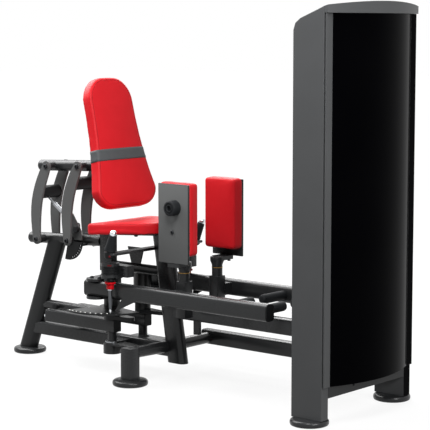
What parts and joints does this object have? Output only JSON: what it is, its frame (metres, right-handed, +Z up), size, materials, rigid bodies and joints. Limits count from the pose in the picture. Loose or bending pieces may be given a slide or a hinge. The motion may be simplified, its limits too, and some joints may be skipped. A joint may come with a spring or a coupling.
{
  "type": "inner and outer thigh machine",
  "caption": "Seated inner and outer thigh machine: padded seat, back rest on a parallel linkage, swinging leg arms with swivelling pads, foot pegs and an enclosed weight tower.",
  "frame": {"origin": "on the floor, at the centre of the machine's plan", "axes": "+X along the machine from the rear foot to the weight tower, which is the way the user faces; +Z up; -Y is the side with the outrigger foot"},
  "size_m": [2.101, 0.721, 1.6317],
  "materials": {
    "charcoal_powder_coat": "fine-textured charcoal powder coat on steel",
    "grey_powder_coat": "satin grey powder coat on steel plate",
    "dark_steel": "dark painted steel plate",
    "cast_iron_plates": "dark cast weight plates",
    "chrome_plate": "bright chrome plate",
    "red_vinyl": "red upholstery vinyl with a fine grain",
    "red_plastic": "glossy red plastic",
    "black_rubber": "matt black rubber",
    "black_gloss_plastic": "glossy black panel"
  },
  "bodies": {
    "frame": {"rear_foot": "charcoal_powder_coat", "rear_leg": "charcoal_powder_coat", "lower_spine": "charcoal_powder_coat", "upper_spine": "charcoal_powder_coat", "seat_post": "charcoal_powder_coat", "front_foot": "charcoal_powder_coat", "front_outrigger": "charcoal_powder_coat", "far_cross_tube": "charcoal_powder_coat", "far_rail": "charcoal_powder_coat", "centre_rail": "charcoal_powder_coat", "near_pivot_base": "charcoal_powder_coat", "far_pivot_base": "charcoal_powder_coat", "near_hip_rail": "charcoal_powder_coat", "far_hip_rail": "charcoal_powder_coat", "seat_upright": "charcoal_powder_coat", "seat_plate": "charcoal_powder_coat", "seat_pad": "red_vinyl", "grip_bar": "charcoal_powder_coat", "near_grip": "black_rubber", "far_grip": "black_rubber", "lower_link_tube": "charcoal_powder_coat", "near_tower_post": "charcoal_powder_coat", "far_tower_post": "charcoal_powder_coat", "near_tower_foot": "charcoal_powder_coat", "far_tower_foot": "charcoal_powder_coat", "front_panel": "black_gloss_plastic", "tower_cap": "charcoal_powder_coat", "tower_base": "charcoal_powder_coat", "tower_rear_beam": "charcoal_powder_coat", "tower_top_beam": "charcoal_powder_coat", "rear_shield": "black_gloss_plastic", "near_guide_rod": "chrome_plate", "far_guide_rod": "chrome_plate", "weight_stack": "cast_iron_plates"},
    "near_swing": {"near_cam": "dark_steel"},
    "far_swing": {"far_cam": "dark_steel"},
    "near_leg_arm": {"near_arm": "charcoal_powder_coat", "near_peg_rear": "black_rubber", "near_peg_front": "black_rubber"},
    "far_leg_arm": {"far_arm": "charcoal_powder_coat", "far_peg_rear": "black_rubber", "far_peg_front": "black_rubber"},
    "near_latch": {"near_start_pin": "red_plastic"},
    "far_latch": {"far_start_pin": "red_plastic"},
    "near_thigh": {"near_pad_frame": "grey_powder_coat", "near_pad": "red_vinyl", "near_bumper": "black_rubber"},
    "far_thigh": {"far_pad_frame": "grey_powder_coat", "far_pad": "red_vinyl"},
    "front_link": {"front_links": "grey_powder_coat"},
    "rear_link": {"rear_links": "grey_powder_coat"},
    "back_rest": {"upper_tube": "charcoal_powder_coat", "back_pad": "red_vinyl"},
    "gas_barrel": {"gas_cylinder": "chrome_plate"},
    "gas_piston": {"gas_rod": "chrome_plate"},
    "index_latch": {"index_pin": "black_rubber"},
    "lifted_stack": {"stack_head": "cast_iron_plates"},
    "selector": {"selector_pin": "red_plastic"}
  },
  "joints": [
    {"name": "near_swing_hinge", "type": "hinge", "parent": "frame", "child": "near_swing", "pos_m": [-0.3335, -0.1, 0.298], "axis": [0, 0, 1], "range_deg": [-45, 0]},
    {"name": "far_swing_hinge", "type": "hinge", "parent": "frame", "child": "far_swing", "pos_m": [-0.3335, 0.1, 0.298], "axis": [0, 0, 1], "range_deg": [0, 45]},
    {"name": "near_start_hinge", "type": "hinge", "parent": "near_swing", "child": "near_leg_arm", "pos_m": [-0.3335, -0.1, 0.298], "axis": [0, 0, 1], "range_deg": [-37.5, 0]},
    {"name": "far_start_hinge", "type": "hinge", "parent": "far_swing", "child": "far_leg_arm", "pos_m": [-0.3335, 0.1, 0.298], "axis": [0, 0, 1], "range_deg": [0, 37.5]},
    {"name": "near_latch_pull", "type": "slide", "parent": "near_leg_arm", "child": "near_latch", "axis": [0, 0, 1], "range_m": [0, 0.02], "stiffness_N_per_m": 800, "springref_m": -0.005},
    {"name": "far_latch_pull", "type": "slide", "parent": "far_leg_arm", "child": "far_latch", "axis": [0, 0, 1], "range_m": [0, 0.02], "stiffness_N_per_m": 800, "springref_m": -0.005},
    {"name": "near_pad_swivel", "type": "hinge", "parent": "near_leg_arm", "child": "near_thigh", "pos_m": [0.1015, -0.108, 0.498], "axis": [0, 0, 1], "range_deg": [-180, 0]},
    {"name": "far_pad_swivel", "type": "hinge", "parent": "far_leg_arm", "child": "far_thigh", "pos_m": [0.1015, 0.108, 0.498], "axis": [0, 0, 1], "range_deg": [0, 180]},
    {"name": "front_link_hinge", "type": "hinge", "parent": "frame", "child": "front_link", "pos_m": [-0.6485, 0, 0.565], "axis": [0, 1, 0], "range_deg": [-30, 0]},
    {"name": "rear_link_hinge", "type": "hinge", "parent": "frame", "child": "rear_link", "pos_m": [-0.8505, 0, 0.556], "axis": [0, 1, 0], "range_deg": [-30, 0]},
    {"name": "back_rest_hinge", "type": "hinge", "parent": "front_link", "child": "back_rest", "pos_m": [-0.5785, 0, 0.908], "axis": [0, 1, 0], "range_deg": [0, 30]},
    {"name": "gas_barrel_hinge", "type": "hinge", "parent": "frame", "child": "gas_barrel", "pos_m": [-0.6425, -0.018, 0.6305], "axis": [0, 1, 0], "range_deg": [-15, 0]},
    {"name": "gas_piston_slide", "type": "slide", "parent": "gas_barrel", "child": "gas_piston", "axis": [-0.8214, 0, 0.5704], "range_m": [0, 0.09]},
    {"name": "index_pull", "type": "slide", "parent": "frame", "child": "index_latch", "axis": [0, 1, 0], "range_m": [0, 0.012], "stiffness_N_per_m": 800, "springref_m": -0.005},
    {"name": "stack_lift", "type": "slide", "parent": "frame", "child": "lifted_stack", "axis": [0, 0, 1], "range_m": [0, 0.3]},
    {"name": "selector_pull", "type": "slide", "parent": "frame", "child": "selector", "axis": [-1, 0, 0], "range_m": [0, 0.06]}
  ],
  "couplings": [
    {"joint": "far_swing_hinge", "follows": "near_swing_hinge", "ratio": -1},
    {"joint": "stack_lift", "follows": "near_swing_hinge", "m_per_rad": -0.38},
    {"joint": "rear_link_hinge", "follows": "front_link_hinge", "ratio": 1},
    {"joint": "back_rest_hinge", "follows": "front_link_hinge", "ratio": -1},
    {"joint": "gas_barrel_hinge", "follows": "front_link_hinge", "ratio": 0.462},
    {"joint": "gas_piston_slide", "follows": "front_link_hinge", "m_per_rad": -0.168}
  ]
}
